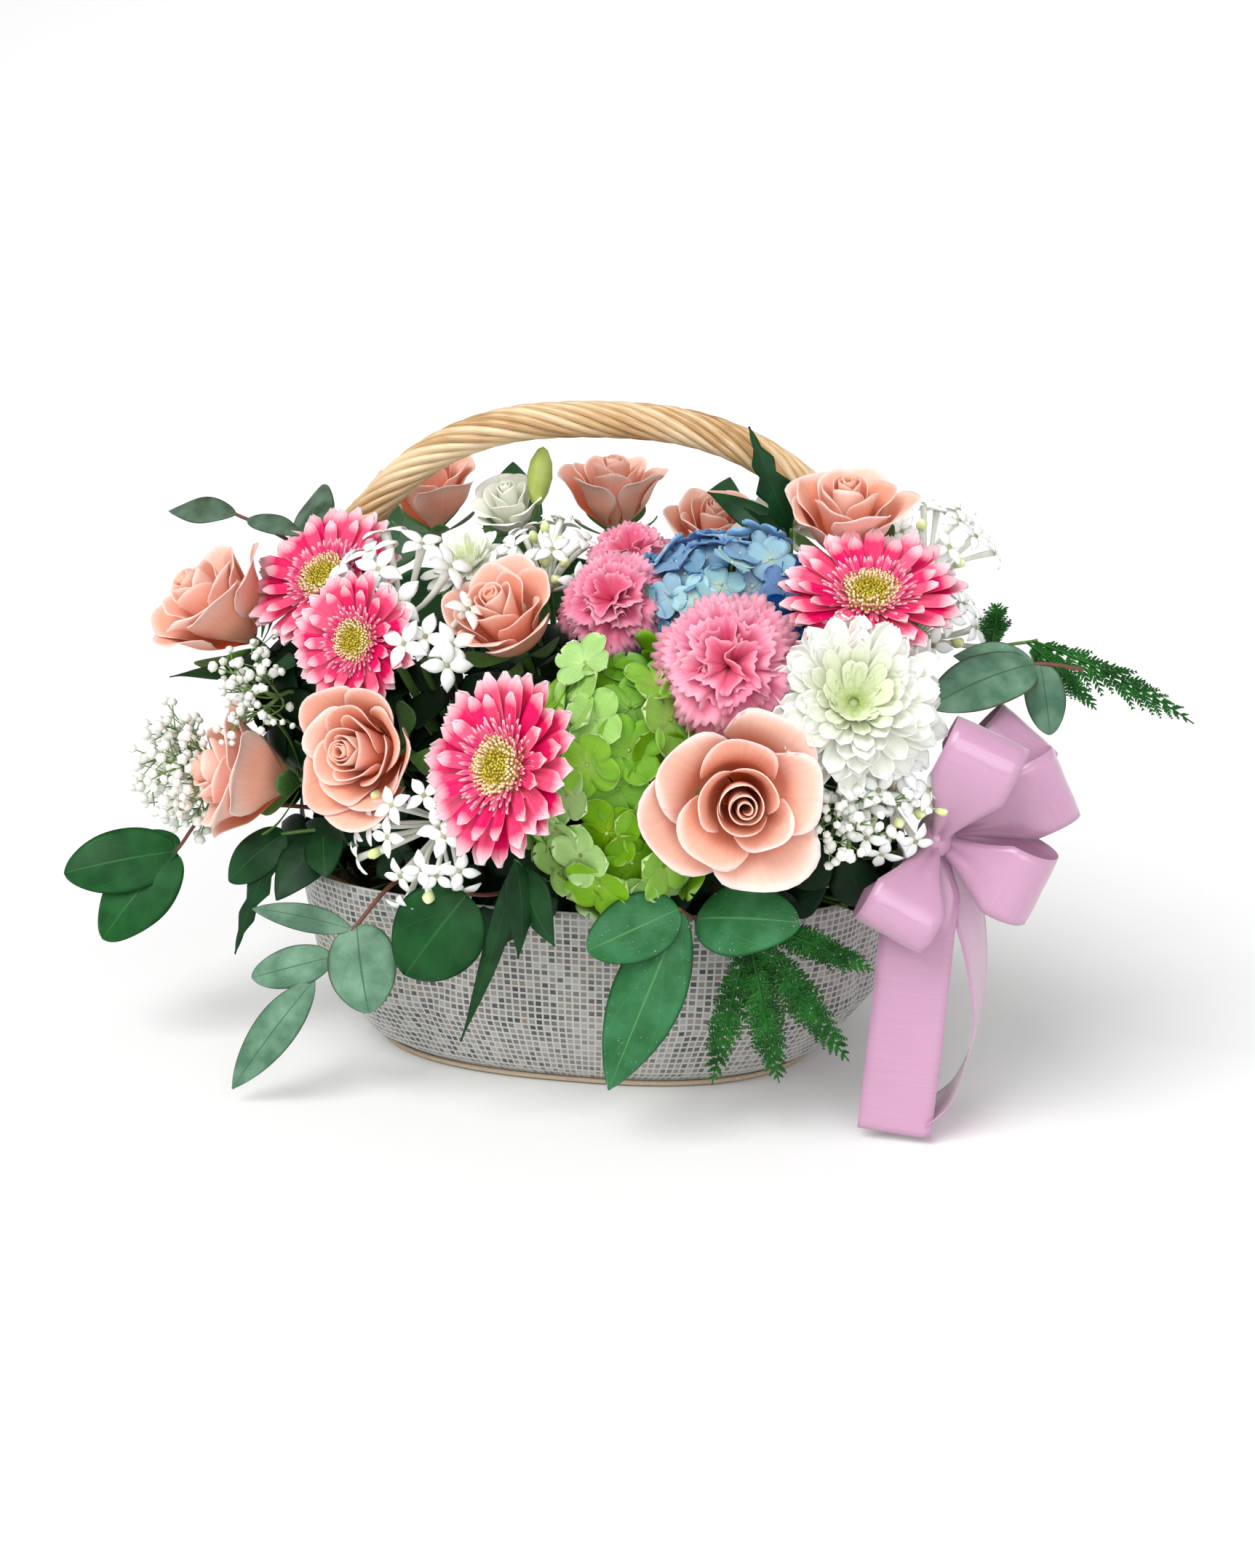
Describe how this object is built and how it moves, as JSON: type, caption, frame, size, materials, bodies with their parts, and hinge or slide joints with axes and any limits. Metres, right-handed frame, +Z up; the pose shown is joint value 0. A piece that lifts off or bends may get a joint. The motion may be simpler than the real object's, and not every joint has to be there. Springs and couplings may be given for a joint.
{
  "type": "flower basket arrangement",
  "caption": "Oval willow basket wrapped in printed cloth, with a tall arched handle, a satin bow, and mixed blooms and leaves standing in a block of wet foam.",
  "frame": {"origin": "on the floor, under the middle of the basket", "axes": "+X along the basket and its handle, to the right seen from the front; -Y towards the front; +Z up"},
  "size_m": [0.585, 0.3835, 0.3474],
  "materials": {
    "petal_peach": "matt petals, deeper orange at the heart",
    "petal_pink": "matt petals with paler tips",
    "petal_coral": "matt ruffled petals",
    "petal_cream": "matt petals, greenish at the heart",
    "petal_white": "matt waxy petals",
    "petal_pale": "matt tiny blooms on green twigs",
    "petal_lime": "matt petals",
    "petal_blue": "matt petals",
    "leaf_green": "satin leaf",
    "leaf_pale": "waxy blue-green leaf",
    "leaf_dark": "satin leaf",
    "fern_green": "satin frond",
    "satin": "glossy satin",
    "willow_cane": "varnished cane",
    "printed_cloth": "silvery cloth with a small printed grid",
    "willow_basket": "plain cane",
    "liner": "thin moulded plastic",
    "foam": "wet floral foam"
  },
  "bodies": {
    "root": {"rose_front": "petal_peach", "gerbera_front": "petal_pink", "rose_centre_left": "petal_peach", "bouvardia_low_left": "petal_white", "chrysanthemum_front": "petal_cream", "carnation_front": "petal_coral", "gerbera_right": "petal_pink", "hydrangea_green": "petal_lime", "rose_left_low": "petal_peach", "gerbera_left": "petal_pink", "rose_left_high": "petal_peach", "rose_middle": "petal_peach", "carnation_middle": "petal_coral", "bouvardia_high_left": "petal_white", "bouvardia_inner": "petal_white", "gerbera_upper_left": "petal_pink", "hydrangea_blue": "petal_blue", "bouvardia_right": "petal_white", "rose_right": "petal_peach", "bouvardia_top": "petal_white", "chrysanthemum_left": "petal_cream", "rose_top": "petal_peach", "rose_behind_handle": "petal_peach", "carnation_back": "petal_coral", "rose_back": "petal_peach", "bouvardia_back_right": "petal_white", "bouvardia_side_right": "petal_white", "chrysanthemum_right": "petal_cream", "lisianthus": "petal_cream", "gypsophila_left": "petal_pale", "gypsophila_middle": "petal_pale", "gypsophila_right": "petal_pale", "ribbon_bow": "satin", "eucalyptus_left_low": "leaf_green", "eucalyptus_front_left": "leaf_pale", "eucalyptus_centre_left": "leaf_green", "leaves_centre": "leaf_dark", "eucalyptus_centre": "leaf_green", "eucalyptus_right": "leaf_pale", "eucalyptus_top_left": "leaf_pale", "leaves_right_top": "leaf_dark", "leaves_left_low": "leaf_dark", "leaves_left_high": "leaf_dark", "fern_front": "fern_green", "fern_right": "fern_green", "leaves_back_left": "leaf_dark", "leaves_back_centre_left": "leaf_dark", "leaves_back_centre_right": "leaf_dark", "leaves_back_right": "leaf_dark", "leaves_back_low_left": "leaf_dark", "leaves_back_low_right": "leaf_dark", "handle": "willow_cane", "fabric_wrap": "printed_cloth", "basket": "willow_basket", "liner": "liner", "foam": "foam"}
  },
  "joints": []
}
